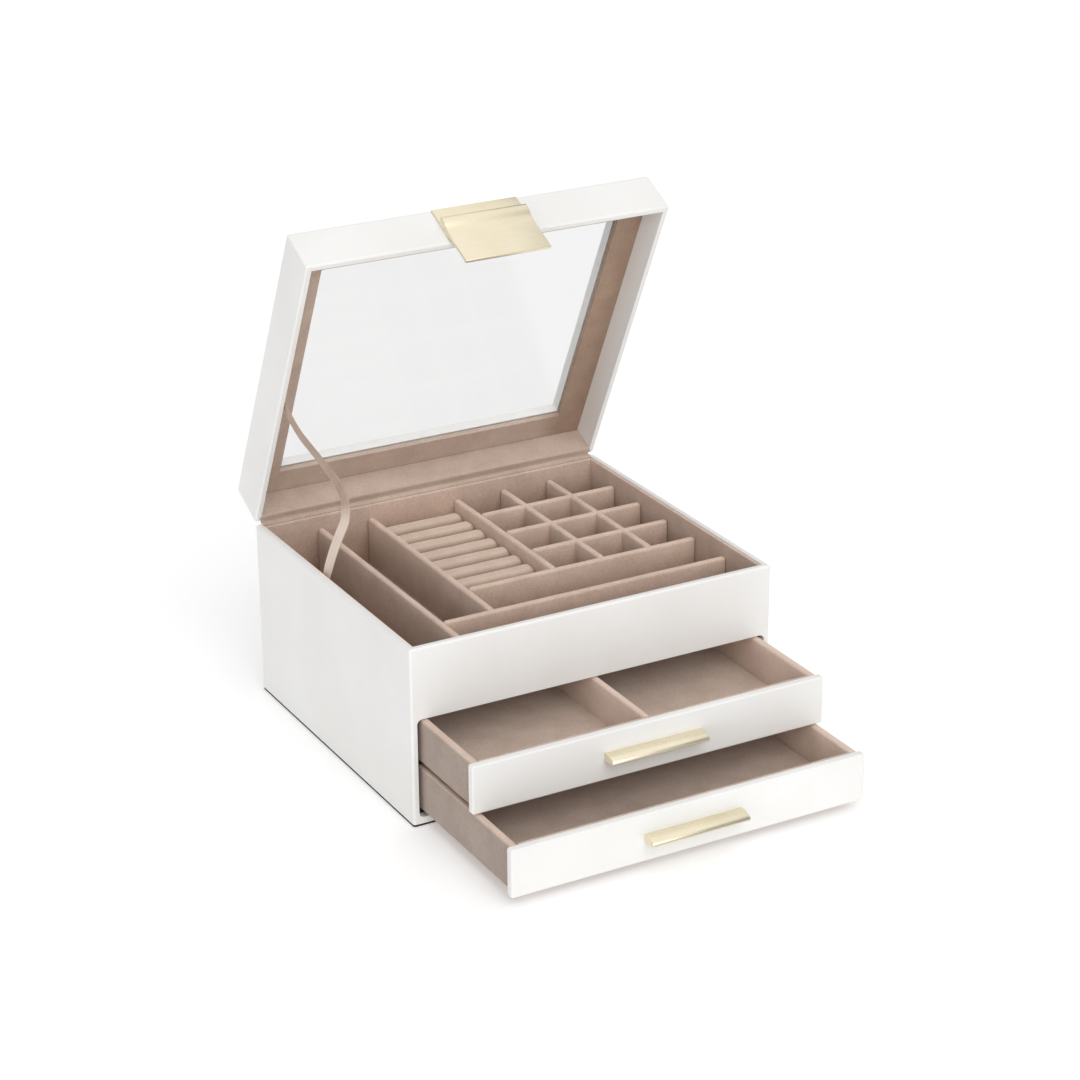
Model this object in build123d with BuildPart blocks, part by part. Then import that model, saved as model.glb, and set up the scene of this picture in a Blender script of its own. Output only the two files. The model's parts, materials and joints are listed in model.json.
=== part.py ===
"""Jewellery chest: a leather-covered box with two velvet drawers, a divided tray and a window lid.

Millimetres, +Z up. The front faces -Y and +X is to the right of someone who faces it.
The origin is the middle of the footprint, on the surface that the chest stands on.
Everything on the lid is drawn as if the lid were shut and placed by lid_plane, which swings
it open about the hinge. Each drawer is drawn pushed in and placed by its own plane.
"""
from build123d import *
from math import acos, atan2, cos, degrees, hypot, radians, sin, tan
import os

# Overall sizes
width = 230.0
depth = 202.0
lid_height = 28.0
lid_gap = 0.5  # between the case's rim and the lid's rim when shut

# How far things stand open in the stored pose
lid_open = 64.0  # degrees
upper_pull = 62.0
lower_pull = 104.0

# Walls: a board with a leather cover glued round it
wall = 3.5
cover = 0.8
base_sheet_t = 1.2
base_inset = 0.1  # the base sheet stops this far inside the leather
rail = 5.0  # height of the case below the drawer opening
edge_round = 1.5
rear_rim_round = 1.2  # on the lid, where the hinge folds

# Drawers
front_height = 28.5
front_t = 4.2
front_gap = 0.8  # round the two fronts
between_fronts = 0.9
front_corner = 1.2
front_face_round = 0.96
opening_corner = 3.0
overhang_side = 2.0  # the front reaches this far past the box
overhang_below = 3.0
box_wall = 4.6
box_front_wall = 2.6
box_floor = 2.0
box_pad = 1.2
slide_gap = 0.3  # under each drawer box
top_gap = 0.6  # over each drawer box
behind_drawer = 2.0
shelf_setback = 5.0
bay_lining_t = 0.5

# Handles
handle_length = 61.0
handle_reach = 9.5
handle_root = 4.4
handle_nose = 3.2
handle_nose_drop = 0.4  # the nose hangs a little lower than the root
handle_edge = 0.6
handle_screw_spacing = 40.0
handle_screw_r = 1.4
handle_screw_bite = 6.0
screw_head_r = 2.7
screw_head_t = 1.4

# Tray
tray_floor_t = 3.2
tray_pad_t = 2.0
tray_depth = 37.3  # from the pad to the rim
liner_t = 1.5
liner_below_rim = 0.8
divider_t = 4.2
divider_below_rim = 8.5
divider_round = 1.9  # along the tops, limited by the board
left_bay = 32.4
second_bay = 28.9
ring_bay = 54.2
front_bay = 33.6  # in front of the front cross divider
cell_rows = 4
cell_columns = 3
middle_bay = 29.4  # between the two long cross dividers
roll_count = 8
roll_gap = 0.1
roll_below_rim = 14.8
roll_seat_drop = 1.2  # a roll is flat underneath by this much
roll_end_round = 2.6
lap_gap = 0.05  # in the halved joints of the cell dividers

# Lid
lid_cavity = 17.0  # from the rim to the velvet border
border_t = 3.0
glass_t = 2.0
glass_lap = 9.0
glass_fit = 0.3
border_x = 16.5
border_y = 17.5
window_corner = 1.0
velvet = 0.8

# Hinge: a leather strip glued over the back, which folds on a round bead
hinge_strip_t = 0.5
hinge_strip_case = 14.0
hinge_strip_lid = 11.0
hinge_bead_r = 0.7
hinge_bead_out = 0.1  # its middle stands this far outside the strip
hinge_strip_clear = 0.35  # between the bead and the strip on the lid
hinge_velvet_gap = 0.1  # under each rim, when shut
hinge_edge_in = 8.0  # the strips stop this far from the corners

# Catch tab on the front of the lid
tab_width = 54.0
tab_top = 27.2  # heights from the lid's rim
tab_ridge = 15.4
tab_bottom = -18.5
tab_flange_t = 1.3
tab_ridge_reach = 5.6
tab_flare = 1.6
tab_screw_height = 11.0
tab_screw_spacing = 30.0
tab_screw_r = 1.2
tab_screw_bite = 2.2
tab_head_r = 2.2
tab_head_t = 1.0

# Ribbon stay
ribbon_width = 6.0
ribbon_t = 0.6
ribbon_on_lid = 93.5  # from the hinge, along the left wall of the lid
ribbon_lid_height = 6.0  # from the lid's rim
ribbon_on_case = 82.0  # from the hinge, along the left wall of the case
ribbon_below_rim = 6.0
ribbon_clear = 0.3  # from the tray liner
ribbon_lean = 0.22  # of the bulge, towards the middle of the box

os.makedirs("parts", exist_ok=True)


def save(part, name):
    """Label a finished piece and write it."""
    part.label = name
    export_step(part, f"parts/{name}.step")


def slab(x, y, z, mode=Mode.ADD):
    """Add or cut a box that spans three (low, high) ranges of the part's own plane."""
    with Locations((x[0], y[0], z[0])):
        Box(x[1] - x[0], y[1] - y[0], z[1] - z[0], align=(Align.MIN,) * 3, mode=mode)


def both(half):
    """The range from -half to +half."""
    return (-half, half)


# Places worked out from the sizes
half_w = width / 2
front_y = -depth / 2
back_y = depth / 2
inner_x = half_w - wall
inner_front = front_y + wall
inner_back = back_y - wall
board_x = half_w - cover
board_front = front_y + cover
board_back = back_y - cover
opening_bottom = rail
opening_top = rail + 2 * front_height + 2 * front_gap + between_fronts
tray_floor_top = opening_top + tray_floor_t
tray_bottom = tray_floor_top + tray_pad_t
case_height = tray_bottom + tray_depth
board_top = case_height - cover
lower_front_z = opening_bottom + front_gap
upper_front_z = lower_front_z + front_height + between_fronts
divider_top = case_height - divider_below_rim
liner_x = inner_x - liner_t
liner_front = inner_front + liner_t
liner_back = inner_back - liner_t
liner_top = case_height - liner_below_rim
lid_bottom = case_height + lid_gap
lid_top = lid_bottom + lid_height
hinge_y = back_y + hinge_strip_t + hinge_bead_out
hinge_z = case_height + lid_gap / 2

swing = radians(lid_open)
lid_plane = Plane(
    origin=(
        0,
        hinge_y - hinge_y * cos(swing) - hinge_z * sin(swing),
        hinge_z + hinge_y * sin(swing) - hinge_z * cos(swing),
    ),
    x_dir=(1, 0, 0),
    z_dir=(0, sin(swing), cos(swing)),
)
lid_up = Axis((0, 0, 0), tuple(lid_plane.z_dir))
lid_back = Axis((0, 0, 0), tuple(lid_plane.y_dir))

# ---------------------------------------------------------------- case

with BuildPart() as base_sheet:
    with BuildSketch():
        RectangleRounded(width - 2 * base_inset, depth - 2 * base_inset, edge_round)
    extrude(amount=base_sheet_t)
save(base_sheet.part, "base_sheet")

with BuildPart() as bottom_panel:
    slab(both(inner_x), (board_front, inner_back), (base_sheet_t, opening_bottom))
save(bottom_panel.part, "bottom_panel")

for side, x_span in (("left", (-board_x, -inner_x)), ("right", (inner_x, board_x))):
    with BuildPart() as side_panel:
        slab(x_span, (board_front, board_back), (base_sheet_t, board_top))
    save(side_panel.part, f"side_panel_{side}")

with BuildPart() as back_panel:
    slab(both(inner_x), (inner_back, board_back), (base_sheet_t, board_top))
save(back_panel.part, "back_panel")

with BuildPart() as front_fascia:
    slab(both(inner_x), (board_front, inner_front), (opening_top, board_top))
save(front_fascia.part, "front_fascia")

# One sheet of leather round the four sides, folded over the rim on three of them
with BuildPart() as case_cover:
    slab(both(half_w), (front_y, back_y), (base_sheet_t, case_height))
    outer = case_cover.edges()
    fillet(outer.filter_by(Axis.Z) + outer.group_by(Axis.Z)[-1], radius=edge_round)
    slab(both(board_x), (board_front, board_back), (base_sheet_t, board_top), Mode.SUBTRACT)
    slab(both(inner_x), (inner_front, board_back), (board_top, case_height), Mode.SUBTRACT)
    with BuildSketch(Plane.XZ.offset(-front_y)):
        with Locations((0, (opening_bottom + opening_top) / 2)):
            RectangleRounded(2 * inner_x, opening_top - opening_bottom, opening_corner)
    extrude(amount=-wall, mode=Mode.SUBTRACT)
save(case_cover.part, "case_cover")

shelf_front = front_y + shelf_setback
lower_runner_top = lower_front_z + overhang_below - slide_gap
shelf_bottom = lower_front_z + front_height + top_gap
shelf_top = upper_front_z + overhang_below - slide_gap
lining_x = inner_x - bay_lining_t
lining_back = inner_back - bay_lining_t

with BuildPart() as drawer_runner_board:
    slab(both(inner_x), (shelf_front, inner_back), (opening_bottom, lower_runner_top))
save(drawer_runner_board.part, "drawer_runner_board")

with BuildPart() as drawer_shelf:
    slab(both(lining_x), (shelf_front, lining_back), (shelf_bottom, shelf_top))
save(drawer_shelf.part, "drawer_shelf")

with BuildPart() as bay_lining:
    slab(both(inner_x), (shelf_front, inner_back), (lower_runner_top, opening_top))
    slab(both(lining_x), (shelf_front, lining_back), (lower_runner_top, opening_top), Mode.SUBTRACT)
save(bay_lining.part, "bay_lining")

# ---------------------------------------------------------------- tray

with BuildPart() as tray_floor:
    slab(both(inner_x), (inner_front, inner_back), (opening_top, tray_floor_top))
save(tray_floor.part, "tray_floor")

with BuildPart() as tray_liner:
    with BuildSketch(Plane.XY.offset(tray_floor_top)):
        with Locations((0, (inner_front + inner_back) / 2)):
            Rectangle(2 * inner_x, inner_back - inner_front)
            Rectangle(2 * liner_x, liner_back - liner_front, mode=Mode.SUBTRACT)
    extrude(amount=liner_top - tray_floor_top)
    rim_edges = tray_liner.edges().group_by(Axis.Z)[-1]
    inner_rim = rim_edges.filter_by(lambda e: e.length < 2 * inner_x - liner_t and
                                    abs(e.center().X) < inner_x - liner_t / 2 and
                                    inner_front + liner_t / 2 < e.center().Y < inner_back - liner_t / 2)
    fillet(inner_rim, radius=liner_t / 2)
save(tray_liner.part, "tray_liner")

with BuildPart() as tray_floor_pad:
    slab(both(liner_x), (liner_front, liner_back), (tray_floor_top, tray_bottom))
save(tray_floor_pad.part, "tray_floor_pad")

# Left and right faces of the three front-to-back dividers, from the left
divider_1 = -liner_x + left_bay
divider_2 = divider_1 + divider_t + second_bay
divider_3 = divider_2 + divider_t + ring_bay
grid_left = divider_3 + divider_t
cell_width = (liner_x - grid_left - (cell_columns - 1) * divider_t) / cell_columns
# Rear faces of the two long cross dividers; the cells share what is left behind them
front_cross = liner_front + front_bay + divider_t
rear_cross = front_cross + middle_bay + divider_t
cell_depth = (liner_back - rear_cross - (cell_rows - 1) * divider_t) / cell_rows
board_round = min(divider_round, 0.46 * divider_t)


long_dividers = {
    "divider_left": (divider_1, (liner_front, liner_back)),
    "divider_necklace": (divider_2, (front_cross, liner_back)),
    "divider_ring": (divider_3, (rear_cross, liner_back)),
}
for name, (x_left, y_span) in long_dividers.items():
    with BuildPart() as board:
        slab((x_left, x_left + divider_t), y_span, (tray_bottom, divider_top))
        fillet(board.edges().filter_by(Axis.Y).group_by(Axis.Z)[-1], radius=board_round)
    save(board.part, name)

cross_dividers = {
    "divider_rear_cross": (rear_cross, divider_2 + divider_t),
    "divider_front_cross": (front_cross, divider_1 + divider_t),
}
for name, (y_rear, x_left) in cross_dividers.items():
    with BuildPart() as board:
        slab((x_left, liner_x), (y_rear - divider_t, y_rear), (tray_bottom, divider_top))
        fillet(board.edges().filter_by(Axis.X).group_by(Axis.Z)[-1], radius=board_round)
    save(board.part, name)

# Cell dividers, halved into each other where they cross
lap_z = (tray_bottom + divider_top) / 2
cell_x = [grid_left + cell_width + i * (cell_width + divider_t) for i in range(cell_columns - 1)]
cell_y = [rear_cross + cell_depth + i * (cell_depth + divider_t) for i in range(cell_rows - 1)]

with BuildPart() as cell_dividers_long:
    for x_left in cell_x:
        slab((x_left, x_left + divider_t), (rear_cross, liner_back), (tray_bottom, divider_top))
    fillet(cell_dividers_long.edges().filter_by(Axis.Y).group_by(Axis.Z)[-1], radius=board_round)
    for y_front in cell_y:
        slab((grid_left, liner_x), (y_front - lap_gap, y_front + divider_t + lap_gap),
             (tray_bottom, lap_z), Mode.SUBTRACT)
save(cell_dividers_long.part, "cell_dividers_long")

with BuildPart() as cell_dividers_cross:
    for y_front in cell_y:
        slab((grid_left, liner_x), (y_front, y_front + divider_t), (tray_bottom, divider_top))
    fillet(cell_dividers_cross.edges().filter_by(Axis.X).group_by(Axis.Z)[-1], radius=board_round)
    for x_left in cell_x:
        slab((x_left - lap_gap, x_left + divider_t + lap_gap), (rear_cross, liner_back),
             (lap_z, divider_top), Mode.SUBTRACT)
save(cell_dividers_cross.part, "cell_dividers_cross")

# Ring holder: padded rolls side by side on a board
ring_left = divider_2 + divider_t
roll_pitch = (liner_back - rear_cross) / roll_count
roll_r = (roll_pitch - roll_gap) / 2
roll_z = case_height - roll_below_rim - roll_r
roll_seat = roll_z - roll_r + roll_seat_drop

with BuildPart() as ring_base:
    slab((ring_left, divider_3), (rear_cross, liner_back), (tray_bottom, roll_seat))
save(ring_base.part, "ring_base")

with BuildPart() as ring_rolls:
    with BuildSketch(Plane.YZ.offset(ring_left)):
        with Locations(*[(rear_cross + (i + 0.5) * roll_pitch, roll_z) for i in range(roll_count)]):
            Circle(roll_r)
    extrude(amount=ring_bay)
    fillet(ring_rolls.edges().filter_by(GeomType.CIRCLE), radius=roll_end_round)
    slab((ring_left, divider_3), (rear_cross, liner_back), (tray_bottom, roll_seat), Mode.SUBTRACT)
save(ring_rolls.part, "ring_rolls")

# ---------------------------------------------------------------- drawers

box_x = inner_x - front_gap - overhang_side
front_x = inner_x - front_gap
box_back = lining_back - behind_drawer
front_back = front_y + front_t
box_round = min(divider_round, 0.46 * box_wall)

drawers = {
    "upper": (upper_front_z, upper_pull, True),
    "lower": (lower_front_z, lower_pull, False),
}
for tier, (bottom, pull, divided) in drawers.items():
    # The drawer's own plane: z is 0 at the foot of its front
    drawer_plane = Plane((0, -pull, bottom))
    floor_z = overhang_below + box_floor
    pad_z = floor_z + box_pad
    screw_places = [(s * handle_screw_spacing / 2, front_height / 2) for s in (-1, 1)]
    screw_plane = Plane((0, -pull + front_y, bottom), x_dir=(1, 0, 0), z_dir=(0, -1, 0))

    with BuildPart(drawer_plane) as front:
        slab(both(front_x), (front_y, front_back), (0, front_height))
        fillet(front.edges().filter_by(Axis.Y), radius=front_corner)
        fillet(front.faces().sort_by(Axis.Y)[0].edges(), radius=front_face_round)
        with BuildSketch(screw_plane.offset(-front_t)):
            with Locations(*screw_places):
                Circle(screw_head_r)
        extrude(amount=screw_head_t, mode=Mode.SUBTRACT)
        with BuildSketch(screw_plane):
            with Locations(*screw_places):
                Circle(handle_screw_r)
        extrude(amount=-front_t, mode=Mode.SUBTRACT)
    save(front.part, f"{tier}_drawer_front")

    for side, sign in (("left", -1), ("right", 1)):
        x_span = sorted((sign * box_x, sign * (box_x - box_wall)))
        with BuildPart(drawer_plane) as box_side:
            slab(x_span, (front_back, box_back), (overhang_below, front_height))
            fillet(box_side.edges().filter_by(Axis.Y).group_by(Axis.Z)[-1], radius=box_round)
        save(box_side.part, f"{tier}_drawer_side_{side}")

    with BuildPart(drawer_plane) as box_rear:
        slab(both(box_x - box_wall), (box_back - box_wall, box_back), (overhang_below, front_height))
        fillet(box_rear.edges().filter_by(Axis.X).group_by(Axis.Z)[-1], radius=box_round)
    save(box_rear.part, f"{tier}_drawer_back")

    inner_wall_back = front_back + box_front_wall
    with BuildPart(drawer_plane) as box_front:
        slab(both(box_x - box_wall), (front_back, inner_wall_back), (overhang_below, front_height))
        fillet(box_front.edges().filter_by(Axis.X).group_by(Axis.Z)[-1].sort_by(Axis.Y)[-1:],
               radius=box_front_wall / 2)
    save(box_front.part, f"{tier}_drawer_inner_front")

    with BuildPart(drawer_plane) as floor:
        slab(both(box_x - box_wall), (inner_wall_back, box_back - box_wall), (overhang_below, floor_z))
    save(floor.part, f"{tier}_drawer_floor")

    with BuildPart(drawer_plane) as pad:
        slab(both(box_x - box_wall), (inner_wall_back, box_back - box_wall), (floor_z, pad_z))
    save(pad.part, f"{tier}_drawer_pad")

    if divided:
        with BuildPart(drawer_plane) as partition:
            slab(both(divider_t / 2), (inner_wall_back, box_back - box_wall), (pad_z, front_height))
            fillet(partition.edges().filter_by(Axis.Y).group_by(Axis.Z)[-1], radius=board_round)
        save(partition.part, f"{tier}_drawer_divider")

    # The handle's section: root against the front, a rounded nose, a curved underside
    with BuildPart() as handle:
        side_on = Plane((-handle_length / 2, -pull + front_y, bottom + front_height / 2),
                        x_dir=(0, -1, 0), z_dir=(1, 0, 0))
        up = -1 if side_on.y_dir.Z < 0 else 1
        root, nose = up * handle_root / 2, up * handle_nose / 2
        drop = up * handle_nose_drop
        with BuildSketch(side_on):
            with BuildLine():
                Line((0, -root), (0, root))
                Line((0, root), (handle_reach - handle_nose / 2, nose - drop))
                ThreePointArc((handle_reach - handle_nose / 2, nose - drop), (handle_reach, -drop),
                              (handle_reach - handle_nose / 2, -nose - drop))
                Line((handle_reach - handle_nose / 2, -nose - drop), (0, -root))
            make_face()
        extrude(amount=handle_length)
        end_faces = handle.faces().filter_by(Axis.X)
        ends = end_faces.edges().filter_by(lambda e: abs(e.center().Y + pull - front_y) > 0.01)
        fillet(ends, radius=handle_edge)
        with BuildSketch(screw_plane):
            with Locations(*screw_places):
                Circle(handle_screw_r)
        extrude(amount=handle_screw_bite, mode=Mode.SUBTRACT)
    save(handle.part, f"{tier}_drawer_handle")

    with BuildPart() as screws:
        with BuildSketch(screw_plane.offset(-front_t)):
            with Locations(*screw_places):
                Circle(screw_head_r)
        extrude(amount=screw_head_t)
        with BuildSketch(screw_plane.offset(-front_t)):
            with Locations(*screw_places):
                Circle(handle_screw_r)
        extrude(amount=front_t + handle_screw_bite)
    save(screws.part, f"{tier}_handle_screws")

# ---------------------------------------------------------------- lid

core_bottom = lid_bottom + cover
core_x = inner_x + cover
core_front = inner_front - cover
core_back = inner_back  # velvet, not leather, lines the rear wall
top_board_z = lid_bottom + lid_cavity + border_t + glass_t
top_board_top = lid_top - cover
window_x = inner_x - border_x
window_y = (inner_back - inner_front) / 2 - border_y
lid_mid_y = (inner_front + inner_back) / 2

tab_screw_places = [s * tab_screw_spacing / 2 for s in (-1, 1)]
tab_screw_z = lid_bottom + tab_screw_height
tab_screw_plane = Plane(lid_plane.from_local_coords(Vector(0, inner_front, tab_screw_z)),
                        x_dir=(1, 0, 0), z_dir=lid_plane.y_dir * -1)

walls = {
    "lid_wall_left": ((-board_x, -core_x), (board_front, board_back)),
    "lid_wall_right": ((core_x, board_x), (board_front, board_back)),
    "lid_wall_rear": (both(core_x), (core_back, board_back)),
    "lid_wall_front": (both(core_x), (board_front, core_front)),
}
for name, (x_span, y_span) in walls.items():
    with BuildPart(lid_plane) as lid_wall:
        slab(x_span, y_span, (core_bottom, top_board_z))
        if name == "lid_wall_front":
            with BuildSketch(tab_screw_plane):
                with Locations(*[(x, 0) for x in tab_screw_places]):
                    Circle(tab_screw_r)
            extrude(amount=wall, mode=Mode.SUBTRACT)
    save(lid_wall.part, name)

with BuildPart(lid_plane) as lid_top_board:
    with BuildSketch(lid_plane.offset(top_board_z)):
        with Locations((0, lid_mid_y)):
            Rectangle(2 * board_x, board_back - board_front)
            RectangleRounded(2 * (window_x + cover), 2 * (window_y + cover),
                             window_corner + cover, mode=Mode.SUBTRACT)
    extrude(amount=top_board_top - top_board_z)
save(lid_top_board.part, "lid_top_board")

# One sheet of leather over the lid, turned in round the rim and through the window
with BuildPart(lid_plane) as lid_cover:
    slab(both(half_w), (front_y, back_y), (lid_bottom, lid_top))
    outer = lid_cover.edges()
    fillet(outer.filter_by(lid_up) + outer.group_by(lid_up)[-1], radius=edge_round)
    rear_rim = lid_cover.edges().group_by(lid_up)[0].sort_by(lid_back)[-1:]
    fillet(rear_rim, radius=rear_rim_round)
    # the inside of the lid, and the rear wall's inner face
    slab(both(inner_x), (inner_front, inner_back), (lid_bottom, top_board_z), Mode.SUBTRACT)
    slab(both(core_x), (core_back, board_back), (lid_bottom, top_board_z), Mode.SUBTRACT)
    # the boards
    slab((-board_x, -core_x), (board_front, board_back), (core_bottom, top_board_z), Mode.SUBTRACT)
    slab((core_x, board_x), (board_front, board_back), (core_bottom, top_board_z), Mode.SUBTRACT)
    slab(both(core_x), (board_front, core_front), (core_bottom, top_board_z), Mode.SUBTRACT)
    with BuildSketch(lid_plane.offset(top_board_z)):
        with Locations((0, lid_mid_y)):
            Rectangle(2 * board_x, board_back - board_front)
            RectangleRounded(2 * (window_x + cover), 2 * (window_y + cover),
                             window_corner + cover, mode=Mode.SUBTRACT)
    extrude(amount=top_board_top - top_board_z, mode=Mode.SUBTRACT)
    # the window, and the screw holes behind the tab
    with BuildSketch(lid_plane.offset(top_board_z)):
        with Locations((0, lid_mid_y)):
            RectangleRounded(2 * window_x, 2 * window_y, window_corner)
    extrude(amount=lid_height, mode=Mode.SUBTRACT)
    with BuildSketch(tab_screw_plane):
        with Locations(*[(x, 0) for x in tab_screw_places]):
            Circle(tab_screw_r)
    extrude(amount=wall, mode=Mode.SUBTRACT)
save(lid_cover.part, "lid_cover")

glass_x = window_x + glass_lap
glass_y = window_y + glass_lap
with BuildPart(lid_plane) as window_glass:
    with BuildSketch(lid_plane.offset(top_board_z - glass_t)):
        with Locations((0, lid_mid_y)):
            RectangleRounded(2 * glass_x, 2 * glass_y, window_corner)
    extrude(amount=glass_t)
save(window_glass.part, "window_glass")

# Velvet border board, with a step that the glass lies in
with BuildPart(lid_plane) as lid_border:
    with BuildSketch(lid_plane.offset(lid_bottom + lid_cavity)):
        with Locations((0, lid_mid_y)):
            Rectangle(2 * inner_x, inner_back - inner_front)
            RectangleRounded(2 * window_x, 2 * window_y, window_corner, mode=Mode.SUBTRACT)
    extrude(amount=border_t + glass_t)
    with BuildSketch(lid_plane.offset(top_board_z - glass_t)):
        with Locations((0, lid_mid_y)):
            Rectangle(2 * (glass_x + glass_fit), 2 * (glass_y + glass_fit))
    extrude(amount=glass_t, mode=Mode.SUBTRACT)
save(lid_border.part, "lid_border")

with BuildPart(lid_plane) as lid_rear_liner:
    slab(both(inner_x), (inner_back - velvet, inner_back), (core_bottom, lid_bottom + lid_cavity))
    slab(both(inner_x), (inner_back - velvet, board_back), (lid_bottom + hinge_velvet_gap, core_bottom))
save(lid_rear_liner.part, "lid_rear_liner")

# Catch tab: flat flange, ridge with an undercut, and a hollow blade that stands off the case
tab_plane = Plane(lid_plane.from_local_coords(Vector(-tab_width / 2, front_y, lid_bottom)),
                  x_dir=lid_plane.y_dir * -1, z_dir=(1, 0, 0))
tab_up = 1 if tab_plane.y_dir.dot(lid_plane.z_dir) > 0 else -1
blade_t = 1.3


def on_tab(points):
    """Profile points given as (distance out from the lid, height above its rim)."""
    return [(reach, tab_up * height) for reach, height in points]


with BuildPart() as catch_tab:
    with BuildSketch(tab_plane):
        with BuildLine():
            back = on_tab([(0, 6.0), (0, tab_top), (tab_flange_t, tab_top),
                           (tab_flange_t, tab_ridge + 1.2), (tab_flange_t + 0.5, tab_ridge + 0.3),
                           (tab_ridge_reach - 1.2, tab_ridge + 1.0), (tab_ridge_reach, tab_ridge + 0.6),
                           (tab_ridge_reach, tab_ridge - 1.0)])
            Polyline(*back)
            blade_end = on_tab([(tab_flare + blade_t, tab_bottom)])[0]
            Bezier(back[-1], *on_tab([(tab_ridge_reach - 0.4, tab_ridge - 5.5),
                                      (tab_flange_t + 1.6, tab_ridge - 7.0),
                                      (tab_flange_t + 1.1, 0.0)]), blade_end)
            Polyline(blade_end, *on_tab([(tab_flare, tab_bottom), (0, 6.0)]))
        make_face()
    extrude(amount=tab_width)
    with BuildSketch(tab_screw_plane):
        with Locations(*[(x, 0) for x in tab_screw_places]):
            Circle(tab_screw_r)
    extrude(amount=wall + tab_screw_bite, mode=Mode.SUBTRACT)
save(catch_tab.part, "catch_tab")

with BuildPart() as tab_screws:
    with BuildSketch(tab_screw_plane):
        with Locations(*[(x, 0) for x in tab_screw_places]):
            Circle(tab_screw_r)
    extrude(amount=wall + tab_screw_bite)
    with BuildSketch(tab_screw_plane):
        with Locations(*[(x, 0) for x in tab_screw_places]):
            Circle(tab_head_r)
    extrude(amount=-tab_head_t)
    heads = tab_screws.edges().filter_by(GeomType.CIRCLE).sort_by(lid_back)[-2:]
    fillet(heads, radius=tab_head_t / 2)
save(tab_screws.part, "tab_screws")

# ---------------------------------------------------------------- hinge and ribbon

with BuildPart() as hinge_strip_on_case:
    strip_x = both(half_w - hinge_edge_in)
    slab(strip_x, (back_y, back_y + hinge_strip_t), (case_height - hinge_strip_case, hinge_z))
    with BuildSketch(Plane.YZ.offset(strip_x[0])):
        with Locations((hinge_y, hinge_z)):
            Circle(hinge_bead_r)
    extrude(amount=strip_x[1] - strip_x[0])
save(hinge_strip_on_case.part, "hinge_strip_on_case")

with BuildPart(lid_plane) as hinge_strip_on_lid:
    strip_low = hinge_z + hinge_bead_r + hinge_strip_clear
    slab(strip_x, (back_y, back_y + hinge_strip_t), (strip_low, strip_low + hinge_strip_lid))
save(hinge_strip_on_lid.part, "hinge_strip_on_lid")

with BuildPart() as hinge_velvet:
    slab(both(inner_x), (inner_back, board_back), (board_top, case_height - hinge_velvet_gap))
save(hinge_velvet.part, "hinge_velvet")

# The ribbon hangs slack between the tray's left wall and the lid's, in the plane that holds its
# two ends and the way it bulges: forward, up and a little to the right. Its route is
# (bulge, distance along the straight line between its ends).
lid_end = lid_plane.from_local_coords(
    Vector(0, hinge_y - ribbon_on_lid, lid_bottom + ribbon_lid_height))
case_end = Vector(0, hinge_y - ribbon_on_case, case_height - ribbon_below_rim)
rise = lid_end - case_end
ribbon_x = -liner_x + ribbon_width / 2 + ribbon_clear
bulge = Vector(ribbon_lean, -rise.Z / rise.length, rise.Y / rise.length)
ribbon_plane = Plane((ribbon_x, case_end.Y, case_end.Z), x_dir=bulge, z_dir=bulge.cross(rise))
ribbon_route = [
    Vector(0, 0),
    Vector(4.5, 0.09 * rise.length),
    Vector(17.5, 0.18 * rise.length),
    Vector(33.0, 0.30 * rise.length),
    Vector(35.5, 0.44 * rise.length),
    Vector(19.5, 0.64 * rise.length),
    Vector(1.5, 0.825 * rise.length),
    Vector(0, rise.length),
]


def arc_radii(route):
    """The radius at each inner point: 0.45 of the shorter run over the tangent of half the turn."""
    radii = []
    for before, here, after in zip(route, route[1:], route[2:]):
        run_in, run_out = here - before, after - here
        half_turn = radians(run_in.get_angle(run_out)) / 2
        radii.append(0.45 * min(run_in.length, run_out.length) / tan(half_turn))
    return radii


ribbon_radii = arc_radii(ribbon_route)
with BuildPart() as ribbon:
    with BuildSketch(ribbon_plane):
        with BuildLine() as route_line:
            FilletPolyline(*ribbon_route, radius=ribbon_radii)
        trace(line_width=ribbon_t)
    extrude(amount=ribbon_width / 2, both=True)
save(ribbon.part, "ribbon")

ribbon_length = sum(edge.length for edge in route_line.edges())
lid_arm = hypot(ribbon_on_lid, lid_bottom + ribbon_lid_height - hinge_z)
case_arm = hypot(ribbon_on_case, hinge_z - case_end.Z)
taut_cos = (lid_arm**2 + case_arm**2 - ribbon_length**2) / (2 * lid_arm * case_arm)
arm_angles = (atan2(lid_bottom + ribbon_lid_height - hinge_z, ribbon_on_lid)
              + atan2(hinge_z - case_end.Z, ribbon_on_case))
print("ribbon radii", [round(r, 1) for r in ribbon_radii])
print("ribbon length", round(ribbon_length, 1), "between ends", round(rise.length, 1))
print("ribbon taut with the lid open", round(degrees(acos(taut_cos) - arm_angles), 1), "degrees")
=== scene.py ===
import json
import math

import bmesh
import bpy
from mathutils import Matrix, Vector, noise


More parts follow.
